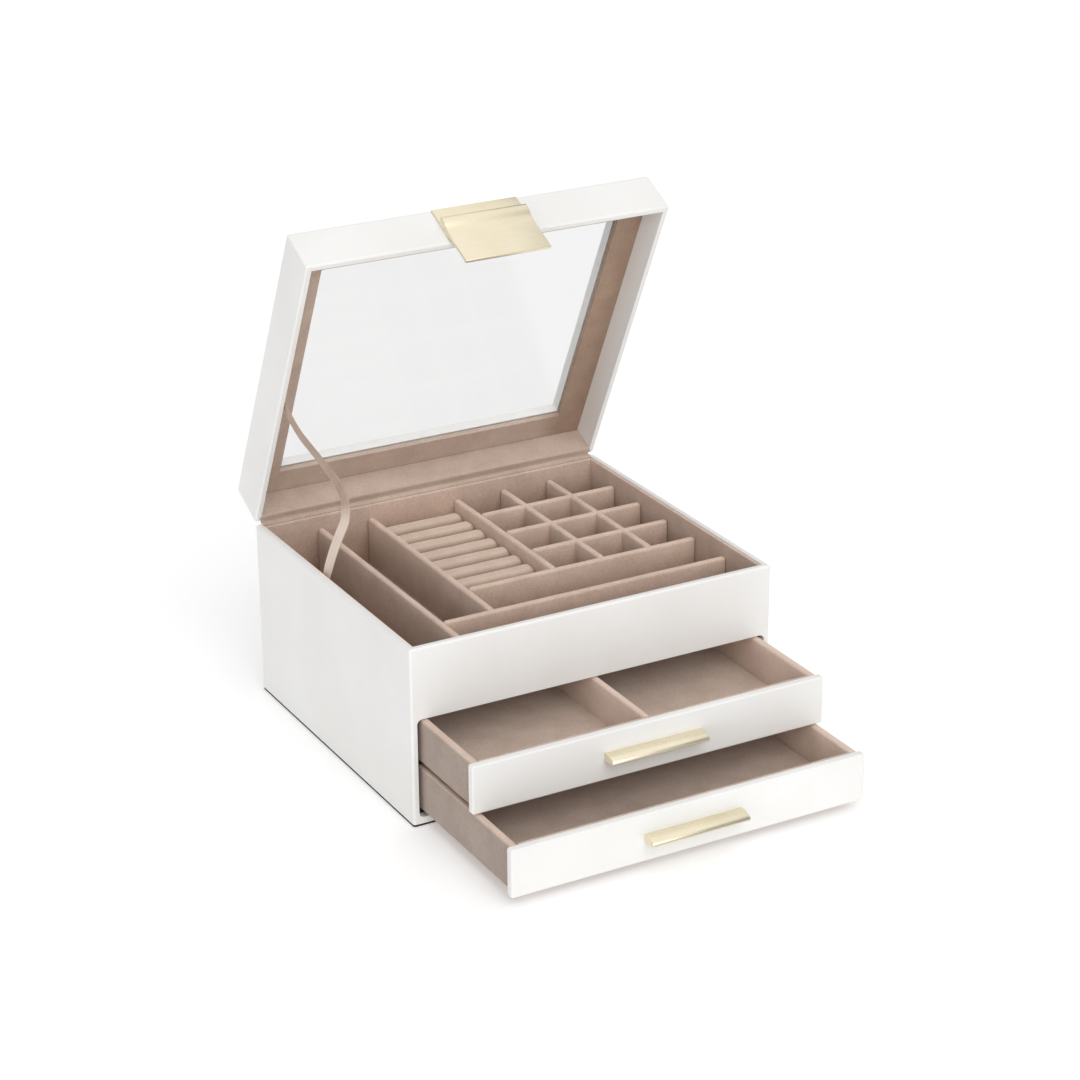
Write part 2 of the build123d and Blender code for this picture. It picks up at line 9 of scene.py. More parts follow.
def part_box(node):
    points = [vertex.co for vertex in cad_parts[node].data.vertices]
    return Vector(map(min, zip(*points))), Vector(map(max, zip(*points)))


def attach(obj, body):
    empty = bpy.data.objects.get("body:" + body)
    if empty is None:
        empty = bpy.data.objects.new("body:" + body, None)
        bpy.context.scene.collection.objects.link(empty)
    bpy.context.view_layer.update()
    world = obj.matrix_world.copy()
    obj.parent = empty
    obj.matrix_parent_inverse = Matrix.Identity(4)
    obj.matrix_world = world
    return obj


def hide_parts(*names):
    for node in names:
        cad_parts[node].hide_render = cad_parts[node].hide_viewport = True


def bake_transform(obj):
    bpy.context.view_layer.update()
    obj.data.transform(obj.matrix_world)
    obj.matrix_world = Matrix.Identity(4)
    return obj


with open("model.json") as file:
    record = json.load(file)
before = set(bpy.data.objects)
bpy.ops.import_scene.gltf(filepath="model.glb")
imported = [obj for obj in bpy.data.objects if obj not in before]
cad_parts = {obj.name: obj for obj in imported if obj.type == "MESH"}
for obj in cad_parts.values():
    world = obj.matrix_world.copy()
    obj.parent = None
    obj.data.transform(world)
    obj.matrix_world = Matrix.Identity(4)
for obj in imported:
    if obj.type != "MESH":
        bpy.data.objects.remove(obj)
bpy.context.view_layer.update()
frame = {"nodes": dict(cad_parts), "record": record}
cadNodes = frame["nodes"]

# The chest's own sizes, in metres, as the frame has them
chest = {"frontY": -0.101, "lidBottom": 0.1075, "hingeY": 0.1016, "hingeZ": 0.10725, "lidOpen": 64.0}
hingePoint = Vector((0, chest["hingeY"], chest["hingeZ"]))
openTurn = (Matrix.Translation(hingePoint)
            @ Matrix.Rotation(math.radians(-chest["lidOpen"]), 4, "X")
            @ Matrix.Translation(-hingePoint))


def deselectAll():
    if bpy.context.mode != "OBJECT":
        bpy.ops.object.mode_set(mode="OBJECT")
    bpy.ops.object.select_all(action="DESELECT")


def makeActive(piece):
    deselectAll()
    piece.select_set(True)
    bpy.context.view_layer.objects.active = piece


def applyPlace(piece):
    makeActive(piece)
    bpy.ops.object.transform_apply(location=True, rotation=True, scale=True)


# for a piece that was modelled with the lid shut
def swingOpen(piece):
    piece.matrix_world = openTurn @ piece.matrix_world
    applyPlace(piece)


# edit mode, with only the verts, edges or faces that wanted(part) chooses
def pick(piece, kind, wanted):
    makeActive(piece)
    bpy.ops.object.mode_set(mode="EDIT")
    bpy.ops.mesh.select_mode(type=kind)
    bpy.ops.mesh.select_all(action="DESELECT")
    mesh = bmesh.from_edit_mesh(piece.data)
    parts = {"VERT": mesh.verts, "EDGE": mesh.edges, "FACE": mesh.faces}[kind]
    for part in parts:
        if wanted(part):
            part.select_set(True)
    mesh.select_flush_mode()
    bmesh.update_edit_mesh(piece.data)


def leaveEdit():
    bpy.ops.object.mode_set(mode="OBJECT")


def middle(edge):
    return (edge.verts[0].co + edge.verts[1].co) / 2


def runsAlong(edge, axis):
    d = edge.verts[1].co - edge.verts[0].co
    return d.length > 1e-9 and abs(d[axis]) > 0.99 * d.length


def smooth(piece, angle=35):
    makeActive(piece)
    bpy.ops.object.shade_smooth_by_angle(angle=math.radians(angle))


def applyModifiers(piece):
    makeActive(piece)
    for modifier in list(piece.modifiers):
        bpy.ops.object.modifier_apply(modifier=modifier.name)


def addBlock(name, low, high):
    deselectAll()
    low, high = Vector(low), Vector(high)
    bpy.ops.mesh.primitive_cube_add(size=1, location=(low + high) / 2, scale=high - low)
    block = bpy.context.object
    block.name = block.data.name = name
    applyPlace(block)
    return block


# a line of (y, z) points in the plane across x, drawn by extruding one vertex
def drawProfile(name, points, x, closed=True):
    deselectAll()
    bpy.ops.mesh.primitive_plane_add(size=0.001, location=(x, points[0][0], points[0][1]))
    piece = bpy.context.object
    piece.name = piece.data.name = name
    applyPlace(piece)
    bpy.ops.object.mode_set(mode="EDIT")
    bpy.ops.mesh.select_mode(type="VERT")
    bpy.ops.mesh.select_all(action="SELECT")
    bpy.ops.mesh.merge(type="CENTER")
    last = points[0]
    for point in points[1:]:
        bpy.ops.mesh.extrude_region_move(
            TRANSFORM_OT_translate={"value": (0, point[0] - last[0], point[1] - last[1])})
        last = point
    bpy.ops.mesh.select_all(action="SELECT")
    if closed:
        bpy.ops.mesh.edge_face_add()
    return piece


def stretchAcross(distance, steps=1):
    for step in range(steps):
        bpy.ops.mesh.extrude_region_move(TRANSFORM_OT_translate={"value": (distance / steps, 0, 0)})


def tidyMesh(piece, inside=False):
    makeActive(piece)
    bpy.ops.object.mode_set(mode="EDIT")
    bpy.ops.mesh.select_all(action="SELECT")
    bpy.ops.mesh.remove_doubles(threshold=0.000002)
    bpy.ops.mesh.normals_make_consistent(inside=inside)
    leaveEdit()


# slow waves along the normals, as cloth glued over board has
def soften(piece, amount, size, seed):
    mesh = piece.data
    offset = Vector((seed * 3.7, seed * 1.9, seed * 5.3))
    moved = [v.co + v.normal * amount * noise.noise(v.co / size + offset) for v in mesh.vertices]
    for v, co in zip(mesh.vertices, moved):
        v.co = co
    mesh.update()


def finish(piece, body, slot, material, *replaced):
    piece.data.materials.clear()
    piece.data.materials.append(material)
    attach(piece, body)
    if replaced:
        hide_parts(*replaced)


camera = {
    "place": (-0.73331, -1.36619, 0.76563), "yaw": -28.8995, "pitch": 22.9309, "roll": -0.4081,
    "lens": 96.91,
}


def addCamera():
    yaw, pitch, roll = (math.radians(camera[k]) for k in ("yaw", "pitch", "roll"))
    back = Vector((math.sin(yaw) * math.cos(pitch), -math.cos(yaw) * math.cos(pitch), math.sin(pitch)))
    right = Vector((0, 0, 1)).cross(back).normalized()
    up = back.cross(right)
    rightRolled = right * math.cos(roll) + up * math.sin(roll)
    upRolled = up * math.cos(roll) - right * math.sin(roll)
    turn = Matrix((rightRolled, upRolled, back)).transposed()
    bpy.ops.object.camera_add(location=camera["place"], rotation=turn.to_euler())
    cameraObject = bpy.context.object
    cameraObject.data.lens = camera["lens"]
    cameraObject.data.sensor_width = 36
    cameraObject.data.clip_start = 0.01
    cameraObject.data.dof.use_dof = False
    bpy.context.scene.camera = cameraObject


studio = {
    "ambient": (1.0, 1.0, 1.0), "ambientStrength": 0.30,
    # wide lamps far away: where each stands as seen from the chest, its width in degrees, its strength
    "lamps": {
        "key": {"from": (-0.12, -1.0, 0.80), "width": 50, "strength": 1.42},
        "top": {"from": (0.10, 0.10, 1.0), "width": 80, "strength": 1.05},
        "left": {"from": (-1.0, -0.50, 0.15), "width": 40, "strength": 0.62},
    },
    "floor": (0.84, 0.84, 0.84), "floorGlow": 0.25, "floorSize": 30,
}


def addLamp(name, lamp):
    turn = (-Vector(lamp["from"])).to_track_quat("-Z", "Y").to_euler()
    bpy.ops.object.light_add(type="SUN", location=Vector(lamp["from"]) * 2, rotation=turn)
    light = bpy.context.object
    light.name = name
    light.data.energy = lamp["strength"]
    light.data.angle = math.radians(lamp["width"])


def addStudio():
    world = bpy.data.worlds.new("studioAir")
    bpy.context.scene.world = world
    world.use_nodes = True
    air = world.node_tree.nodes["Background"]
    air.inputs["Color"].default_value = (*studio["ambient"], 1)
    air.inputs["Strength"].default_value = studio["ambientStrength"]
    for name, lamp in studio["lamps"].items():
        addLamp(name + "Lamp", lamp)
    deselectAll()
    bpy.ops.mesh.primitive_plane_add(size=studio["floorSize"], location=(0, 0, -0.0002))
    floor = bpy.context.object
    floor.name = "studioFloor"
    applyPlace(floor)
    floorPaint = bpy.data.materials.new("floorPaint")
    floorPaint.use_nodes = True
    shader = floorPaint.node_tree.nodes["Principled BSDF"]
    shader.inputs["Base Color"].default_value = (*studio["floor"], 1)
    shader.inputs["Roughness"].default_value = 0.9
    shader.inputs["Emission Color"].default_value = (1, 1, 1, 1)
    shader.inputs["Emission Strength"].default_value = studio["floorGlow"]
    floor.data.materials.append(floorPaint)
    bpy.context.scene.view_settings.view_transform = "Standard"


# a material being put together, node by node
class Shades:

    def __init__(self, name):
        self.material = bpy.data.materials.new(name)
        self.material.use_nodes = True
        self.tree = self.material.node_tree
        self.shader = self.tree.nodes["Principled BSDF"]
        self.where = self.add("ShaderNodeTexCoord").outputs["Object"]

    def add(self, kind, inputs=None, **settings):
        node = self.tree.nodes.new(kind)
        for key, value in settings.items():
            setattr(node, key, value)
        for key, value in (inputs or {}).items():
            if isinstance(value, bpy.types.NodeSocket):
                self.tree.links.new(value, node.inputs[key])
            else:
                node.inputs[key].default_value = value
        return node

    def set(self, **values):
        for key, value in values.items():
            self.shader.inputs[key.replace("_", " ")].default_value = value

    def link(self, output, name):
        self.tree.links.new(output, self.shader.inputs[name])

    def spots(self, scale, detail=2.0, roughness=0.5, stretch=None):
        where = self.where
        if stretch:
            where = self.add("ShaderNodeMapping", {"Vector": where, "Scale": stretch}).outputs[0]
        return self.add("ShaderNodeTexNoise", {"Vector": where, "Scale": scale, "Detail": detail,
                                               "Roughness": roughness}).outputs["Fac"]

    def coordinate(self, axis, where=None):
        return self.add("ShaderNodeSeparateXYZ", {"Vector": where or self.where}).outputs[axis]

    def between(self, value, low, high, outLow=0.0, outHigh=1.0):
        return self.add("ShaderNodeMapRange", {
            "Value": value, "From Min": low, "From Max": high, "To Min": outLow,
            "To Max": outHigh}).outputs[0]

    def mixColour(self, factor, a, b, how="MIX"):
        node = self.add("ShaderNodeMix", data_type="RGBA", blend_type=how)
        for socket, value in ((node.inputs[0], factor), (node.inputs[6], a), (node.inputs[7], b)):
            if isinstance(value, bpy.types.NodeSocket):
                self.tree.links.new(value, socket)
            else:
                socket.default_value = value if isinstance(value, float) else (*value[:3], 1)
        return node.outputs[2]

    def maths(self, how, a, b=0.0):
        node = self.add("ShaderNodeMath", operation=how)
        for socket, value in ((node.inputs[0], a), (node.inputs[1], b)):
            if isinstance(value, bpy.types.NodeSocket):
                self.tree.links.new(value, socket)
            else:
                socket.default_value = value
        return node.outputs[0]

    def bump(self, height, strength, distance):
        node = self.add("ShaderNodeBump", {"Height": height, "Strength": strength, "Distance": distance})
        self.link(node.outputs[0], "Normal")


leather = {
    "colour": (0.87, 0.865, 0.85), "deep": (0.83, 0.82, 0.80), "roughness": 0.42,
    "grainScale": 1500, "grainBump": 0.06, "grainDepth": 0.0002,
}


def makeLeather(name="whiteLeather", light=leather["colour"], deep=leather["deep"]):
    s = Shades(name)
    tone = s.between(s.spots(14, 3), 0.35, 0.65)
    colour = s.mixColour(tone, deep, light)
    # edges that are handled show a little warmer
    wear = s.add("ShaderNodeNewGeometry").outputs["Pointiness"]
    worn = s.between(wear, 0.52, 0.58, 0.0, 0.35)
    scuff = s.maths("MULTIPLY", worn, s.between(s.spots(180, 4), 0.45, 0.7))
    s.link(s.mixColour(scuff, colour, (0.86, 0.84, 0.80)), "Base Color")
    grain = s.add("ShaderNodeTexVoronoi", {"Vector": s.where, "Scale": leather["grainScale"],
                                           "Randomness": 1.0}, feature="F1").outputs["Distance"]
    fine = s.spots(leather["grainScale"] * 2.2, 2)
    height = s.maths("ADD", grain, s.maths("MULTIPLY", fine, 0.6))
    rough = s.between(s.spots(60, 3), 0.3, 0.7, leather["roughness"] - 0.04,
                      leather["roughness"] + 0.06)
    s.link(rough, "Roughness")
    s.set(Specular_IOR_Level=0.42, Coat_Weight=0.12, Coat_Roughness=0.35)
    s.bump(height, leather["grainBump"], leather["grainDepth"])
    return s.material


velvet = {
    "light": (0.66, 0.53, 0.445), "dark": (0.49, 0.375, 0.305), "sheen": 0.75,
    "sheenTint": (0.95, 0.90, 0.85), "sheenRoughness": 0.33,
    "napScale": 1100, "brushScale": 70, "pileScale": 5200, "bump": 0.55, "depth": 0.0003,
    "rimLineAbove": 0.10595, "rimLineLeftOf": -0.1101,
}


def makeVelvet(name, light=velvet["light"], dark=velvet["dark"], rimLineColour=None, seam=None, deep=None):
    s = Shades(name)
    nap = s.spots(velvet["napScale"], 3, 0.6)
    brushed = s.spots(velvet["brushScale"], 3, 0.55)
    pile = s.spots(velvet["pileScale"], 2, 0.7)
    tone = s.maths("ADD", s.between(nap, 0.3, 0.7, -0.34, 0.34),
                   s.between(brushed, 0.3, 0.7, 0.25, 0.75))
    colour = s.mixColour(s.maths("MINIMUM", s.maths("MAXIMUM", tone, 0.0), 1.0), dark, light)
    speck = s.between(pile, 0.25, 0.75, 0.86, 1.12)
    flecked = s.mixColour(1.0, colour, s.add("ShaderNodeCombineColor", {
        "Red": speck, "Green": speck, "Blue": speck}).outputs[0], "MULTIPLY")
    if deep:
        # painted shade low down and painted light along the tops: the tone runs from one colour to the
        # other, upwards unless another axis is named
        shadeHeight = s.between(s.coordinate(deep.get("axis", 2)), deep["floor"], deep["rim"])
        flecked = s.mixColour(1.0, flecked, s.mixColour(shadeHeight, deep["low"], deep["high"]), "MULTIPLY")
    if rimLineColour:
        # a thin warm line is painted on the liner just inside the left rim
        high = s.maths("GREATER_THAN", s.coordinate(2), velvet["rimLineAbove"])
        left = s.maths("LESS_THAN", s.coordinate(0), velvet["rimLineLeftOf"])
        flecked = s.mixColour(s.maths("MULTIPLY", high, left), flecked, rimLineColour)
    if seam:
        # a row of stitches along the lower front edge
        row = s.maths("MULTIPLY", s.maths("LESS_THAN", s.coordinate(2), seam["top"]),
                      s.maths("LESS_THAN", s.coordinate(1), seam["front"]))
        along = s.maths("FRACT", s.maths("DIVIDE", s.coordinate(0), seam["pitch"]))
        stitch = s.maths("GREATER_THAN", along, seam["gap"])
        shade = s.maths("MULTIPLY", row, s.maths("ADD", s.maths("MULTIPLY", stitch, seam["depth"]),
                                                 seam["depth"]))
        flecked = s.mixColour(shade, flecked, seam["colour"])
    s.link(flecked, "Base Color")
    s.set(Roughness=0.95, Specular_IOR_Level=0.12, Sheen_Weight=velvet["sheen"],
          Sheen_Roughness=velvet["sheenRoughness"], Sheen_Tint=(*velvet["sheenTint"], 1))
    s.bump(s.maths("ADD", pile, nap), velvet["bump"], velvet["depth"])
    return s.material


gold = {"colour": (0.80, 0.715, 0.52), "pale": (0.86, 0.78, 0.60), "roughness": 0.29}


def makeGold(name="brushedGold"):
    s = Shades(name)
    lines = s.spots(3800, 2, 0.6, stretch=(0.012, 1, 1))
    broad = s.spots(35, 2)
    s.link(s.mixColour(s.between(broad, 0.3, 0.7), gold["colour"], gold["pale"]), "Base Color")
    s.link(s.between(lines, 0.3, 0.7, gold["roughness"] - 0.06, gold["roughness"] + 0.10), "Roughness")
    s.set(Metallic=0.92, Coat_Weight=0.15, Coat_Roughness=0.25)
    s.bump(lines, 0.05, 0.0001)
    return s.material


def makeSteel():
    s = Shades("screwSteel")
    rings = s.spots(2500, 2, 0.5)
    s.link(s.between(rings, 0.3, 0.7, 0.28, 0.45), "Roughness")
    s.link(s.mixColour(s.spots(300, 2), (0.55, 0.55, 0.56), (0.68, 0.68, 0.69)), "Base Color")
    s.set(Metallic=1.0)
    s.bump(rings, 0.1, 0.0001)
    return s.material


def makeBoard():
    s = Shades("whiteBoard")
    fibres = s.spots(900, 4, 0.6, stretch=(1, 1, 0.2))
    s.link(s.mixColour(fibres, (0.78, 0.76, 0.72), (0.84, 0.83, 0.80)), "Base Color")
    s.set(Roughness=0.85, Specular_IOR_Level=0.2)
    s.bump(fibres, 0.25, 0.0002)
    return s.material


def makeBlackLining():
    s = Shades("blackLining")
    weave = s.spots(1600, 3, 0.6)
    s.link(s.mixColour(weave, (0.012, 0.012, 0.013), (0.03, 0.03, 0.032)), "Base Color")
    s.set(Roughness=0.85, Specular_IOR_Level=0.25)
    s.bump(weave, 0.4, 0.0003)
    return s.material


# a low index keeps the tray's reflection faint
glass = {"tint": (0.855, 0.86, 0.858), "clear": (0.87, 0.873, 0.871), "index": 1.22}


def makeGlass():
    s = Shades("windowGlass")
    dust = s.spots(9, 3)
    s.link(s.mixColour(dust, glass["tint"], glass["clear"]), "Base Color")
    s.link(s.between(dust, 0.45, 0.75, 0.0, 0.01), "Roughness")
    s.set(Transmission_Weight=1.0, IOR=glass["index"])
    return s.material


satin = {
    "pale": ((0.60, 0.48, 0.405), (0.74, 0.62, 0.54)),
    "dark": ((0.33, 0.225, 0.17), (0.47, 0.34, 0.27)),
    "turnsFrom": 0.050, "turnsTo": 0.066, "warpScale": 160.0,
}


def makeSatin():
    s = Shades("ribbonSatin")
    uv = s.add("ShaderNodeUVMap", uv_map="weave").outputs[0]
    warp = s.add("ShaderNodeTexWave", {"Vector": uv, "Scale": satin["warpScale"], "Distortion": 0.6,
                                       "Detail": 1.0},
                 wave_type="BANDS", bands_direction="Y").outputs["Fac"]
    slow = s.spots(120, 2)
    tone = s.maths("ADD", s.maths("MULTIPLY", warp, 0.3), s.between(slow, 0.3, 0.7, 0.1, 0.5))
    # painted shade: pale up to the bend and darker from there to the lid
    upper = s.between(s.coordinate(0, uv), satin["turnsFrom"], satin["turnsTo"])
    pale, dark = (s.mixColour(tone, *satin[end]) for end in ("pale", "dark"))
    s.link(s.mixColour(upper, pale, dark), "Base Color")
    s.link(s.between(warp, 0, 1, 0.34, 0.46), "Roughness")
    s.set(Specular_IOR_Level=0.6, Sheen_Weight=0.35, Sheen_Roughness=0.3,
          Sheen_Tint=(0.95, 0.88, 0.82, 1), Anisotropic=0.5)
    s.bump(warp, 0.15, 0.0001)
    return s.material


boards = {
    "round": 0.0016, "endRound": 0.0013, "steps": 4, "wave": 0.00009, "waveSize": 0.012,
    "cut": 0.006,
}


# a board wrapped in velvet, rounded along its top and down its ends
def velvetBoard(name, low, high, endGap=(0.0, 0.0), radius=None):
    low, high = Vector(low), Vector(high)
    along = 0 if high.x - low.x > high.y - low.y else 1
    low[along] += endGap[0]
    high[along] -= endGap[1]
    across = 1 - along
    radius = radius or min(boards["round"], (high[across] - low[across]) * 0.46)
    board = addBlock(name, low, high)
    top = high.z

    def topOrEnd(edge):
        return runsAlong(edge, 2) or middle(edge).z > top - 1e-6

    pick(board, "EDGE", topOrEnd)
    bpy.ops.mesh.bevel(offset=radius, segments=boards["steps"], profile=0.5, affect="EDGES")
    leaveEdit()
    cuts = max(1, int((high[along] - low[along]) / boards["cut"]))
    longest = (high[along] - low[along]) - 2.5 * radius
    pick(board, "EDGE", lambda e: runsAlong(e, along) and e.calc_length() > longest)
    bpy.ops.mesh.subdivide(number_cuts=cuts)
    leaveEdit()
    tall = (high.z - low.z) * 0.6
    pick(board, "EDGE", lambda e: runsAlong(e, 2) and e.calc_length() > tall)
    bpy.ops.mesh.subdivide(number_cuts=3)
    leaveEdit()
    soften(board, boards["wave"], boards["waveSize"], len(name) + low.x * 91 + low.y * 57)
    smooth(board, 40)
    return board


print("camera and studio")
addCamera()
addStudio()

print("materials")
whiteLeather = makeLeather()
# painted light: a paler copy of the white leather for the lid's inner right wall
paintedLightLeather = makeLeather("paintedLightLeather", (0.95, 0.93, 0.89), (0.93, 0.905, 0.86))
taupeVelvet = makeVelvet("taupeVelvet")
# painted shade low down in the tray's boards and painted light along their tops
trayPaintedShade = {
    "floor": 0.071, "rim": 0.1062, "low": (0.68, 0.55, 0.48), "high": (1.34, 1.35, 1.36),
}
trayVelvet = makeVelvet("trayVelvet", deep=trayPaintedShade)
# a darker copy of the velvet: painted shade on the floor of the tray's cells
shadedTrayPadVelvet = makeVelvet("shadedTrayPadVelvet", (0.37, 0.275, 0.22), (0.27, 0.19, 0.15))
# the liner has painted shade low down, painted light near its top, and a thin warm line by the left rim
linerVelvet = makeVelvet("linerVelvet", rimLineColour=(0.78, 0.52, 0.34), deep={
    **trayPaintedShade, "low": (0.60, 0.48, 0.41), "high": (1.14, 1.12, 1.12)})
foldVelvet = makeVelvet("foldVelvet", seam={
    "top": 0.1065, "front": 0.0979, "pitch": 0.0022, "gap": 0.3, "depth": 0.35,
    "colour": (0.25, 0.17, 0.13)})
rollLow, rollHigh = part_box("ring_rolls")
# painted shade down the rolls' sides and in the creases between them, and a little painted light on
# their crowns
paleVelvet = makeVelvet("ringVelvet", (0.66, 0.535, 0.45), (0.54, 0.42, 0.345), deep={
    "floor": rollHigh.z - 0.0032, "rim": rollHigh.z - 0.0008, "low": (0.62, 0.54, 0.48),
    "high": (1.08, 1.07, 1.06)})
# painted shade on the drawers' left boards and painted light on their right boards and partition even
# out how the lamps light them; the left boards also get a painted highlight along their tops
shadedVelvet = {}
for tier in ("upper", "lower"):
    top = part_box(f"{tier}_drawer_side_left")[1].z
    shadedVelvet[tier] = makeVelvet(
        f"{tier}SideVelvet", (0.45, 0.36, 0.305), (0.335, 0.26, 0.215),
        deep={"floor": top - 0.0016, "rim": top - 0.0003, "low": (1, 1, 1), "high": (1.7, 1.65, 1.62)})
# painted shade, darker towards the border's right end
borderVelvet = makeVelvet("borderVelvet", deep={
    "axis": 0, "floor": 0.096, "rim": 0.078, "low": (0.70, 0.61, 0.54), "high": (1, 0.99, 0.98)})
# painted light: a paler copy of the velvet for the drawers' right boards and the partition
paintedLightVelvet = makeVelvet("paintedLightVelvet", (0.80, 0.635, 0.54), (0.66, 0.505, 0.42))
brushedGold = makeGold()
screwSteel = makeSteel()
whiteBoard = makeBoard()
blackLining = makeBlackLining()
windowGlass = makeGlass()
ribbonSatin = makeSatin()

finishes = {
    "white_leather": whiteLeather, "white_board": whiteBoard, "black_lining": blackLining,
    "velvet": taupeVelvet, "ring_velvet": paleVelvet, "gold": brushedGold,
    "screw_steel": screwSteel, "window_glass": windowGlass, "ribbon_satin": ribbonSatin,
}
for row in frame["record"]["subparts"]:
    mesh = cadNodes[row["node"]].data
    mesh.materials.clear()
    mesh.materials.append(finishes[row["material_slot"]])
cadNodes["tray_liner"].data.materials[0] = linerVelvet
# painted light on the lid's inner right wall
cadNodes["lid_wall_right"].data.materials[0] = paintedLightLeather
cadNodes["lid_border"].data.materials[0] = borderVelvet
cadNodes["window_glass"].visible_shadow = False  # so that the lamps shine through it

print("tray dividers")
singleBoards = {
    "divider_left": (0.0, 0.0), "divider_necklace": (0.0, 0.0), "divider_ring": (0.0, 0.0),
    "divider_rear_cross": (0.0, 0.0002), "divider_front_cross": (0.0, 0.0002),
}
for nodeName, gap in singleBoards.items():
    low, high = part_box(nodeName)
    board = velvetBoard(nodeName + "Board", low, high, gap)
    finish(board, "case", "velvet", trayVelvet, nodeName)

low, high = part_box("cell_dividers_long")
cells = {"columns": 3, "rows": 4, "board": 0.0042, "columnWidth": 0.027833, "rowDepth": 0.027}
for i in range(cells["columns"] - 1):
    x = low.x + i * (cells["columnWidth"] + cells["board"])
    board = velvetBoard(f"cellBoardLong{i + 1}", (x, low.y, low.z),
                        (x + cells["board"], high.y, high.z))
    finish(board, "case", "velvet", trayVelvet, "cell_dividers_long")
crossLow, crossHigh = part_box("cell_dividers_cross")
for i in range(cells["rows"] - 1):
    y = crossLow.y + i * (cells["rowDepth"] + cells["board"])
    board = velvetBoard(f"cellBoardCross{i + 1}", (crossLow.x, y, crossLow.z),
                        (crossHigh.x, y + cells["board"], crossHigh.z), (0.0, 0.0002))
    finish(board, "case", "velvet", trayVelvet, "cell_dividers_cross")

print("drawer boxes")
for tier in ("upper", "lower"):
    for part in ("side_left", "side_right", "back", "inner_front"):
        nodeName = f"{tier}_drawer_{part}"
        low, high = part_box(nodeName)
        board = velvetBoard(f"{tier}{part.title().replace('_', '')}Board", low, high)
        # the left boards take painted shade and the right boards painted light
        nap = {"side_left": shadedVelvet[tier], "side_right": paintedLightVelvet}.get(part, taupeVelvet)
        finish(board, f"{tier}_drawer", "velvet", nap, nodeName)
low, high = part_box("upper_drawer_divider")
board = velvetBoard("upperPartitionBoard", low, high)
finish(board, "upper_drawer", "velvet", paintedLightVelvet, "upper_drawer_divider")

print("pads")
pads = {
    "round": 0.0005, "cells": 0.004, "wave": 0.0001, "waveSize": 0.02, "gap": 0.00015,
    "nearRim": 0.0003,
}


# a thin pad with a rolled edge that lies between its walls
def floorPad(name, nodeName, body, nap):
    low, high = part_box(nodeName)
    gap = Vector((pads["gap"], pads["gap"], 0))
    pad = addBlock(name, low + gap, high - gap)
    top = high.z
    for axis in (0, 1):
        cuts = int((high[axis] - low[axis]) / pads["cells"])
        pick(pad, "EDGE", lambda e: runsAlong(e, axis))
        bpy.ops.mesh.subdivide(number_cuts=cuts)
        leaveEdit()

    def onRim(edge):
        m = middle(edge)
        beside = min(m.x - low.x, high.x - m.x) < pads["nearRim"] and runsAlong(edge, 1)
        before = min(m.y - low.y, high.y - m.y) < pads["nearRim"] and runsAlong(edge, 0)
        return m.z > top - 1e-6 and (beside or before)

    pick(pad, "EDGE", onRim)
    bpy.ops.mesh.bevel(offset=pads["round"], segments=3, profile=0.5, affect="EDGES")
    leaveEdit()
    soften(pad, pads["wave"], pads["waveSize"], len(name))
    smooth(pad, 40)
    finish(pad, body, "velvet", nap, nodeName)


floorPad("trayPad", "tray_floor_pad", "case", shadedTrayPadVelvet)
floorPad("upperDrawerPad", "upper_drawer_pad", "upper_drawer", taupeVelvet)
floorPad("lowerDrawerPad", "lower_drawer_pad", "lower_drawer", taupeVelvet)

print("ring rolls")
rolls = {"count": 8, "sides": 40, "rings": 22, "endRound": 0.0026, "squeeze": 0.965, "wave": 0.00022,
         "waveSize": 0.009}


def ringRolls():
    low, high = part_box("ring_rolls")
    pitch = (high.y - low.y) / rolls["count"]
    radius = pitch / 2
    middleZ = high.z - radius
    made = []
    for i in range(rolls["count"]):
        deselectAll()
        bpy.ops.mesh.primitive_cylinder_add(
            vertices=rolls["sides"], radius=radius, depth=high.x - low.x,
            location=((low.x + high.x) / 2, low.y + (i + 0.5) * pitch, middleZ),
            rotation=(0, math.pi / 2, 0))
        roll = bpy.context.object
        roll.name = f"ringRoll{i + 1}"
        applyPlace(roll)
        pick(roll, "EDGE", lambda e: abs(middle(e).x - (low.x + high.x) / 2) > 0.02)
        bpy.ops.mesh.bevel(offset=rolls["endRound"], segments=5, profile=0.5, affect="EDGES")
        leaveEdit()
        pick(roll, "EDGE", lambda e: runsAlong(e, 0) and (e.verts[0].co - e.verts[1].co).length > 0.03)
        bpy.ops.mesh.subdivide(number_cuts=rolls["rings"])
        leaveEdit()
        # pressed against its neighbours and flat where it sits
        centreY = low.y + (i + 0.5) * pitch
        for v in roll.data.vertices:
            side = (v.co.y - centreY) / radius
            v.co.y = centreY + radius * rolls["squeeze"] * math.copysign(abs(side) ** 0.86, side)
            v.co.z = max(v.co.z, low.z)
        soften(roll, rolls["wave"], rolls["waveSize"], i)
        for v in roll.data.vertices:
            v.co.z = max(v.co.z, low.z)
        smooth(roll, 60)
        made.append(roll)
    deselectAll()
    for roll in made:
        roll.select_set(True)
    bpy.context.view_layer.objects.active = made[0]
    bpy.ops.object.join()
    joined = bpy.context.object
    joined.name = joined.data.name = "ringRolls"
    finish(joined, "case", "ring_velvet", paleVelvet, "ring_rolls")


ringRolls()

print("hinge")
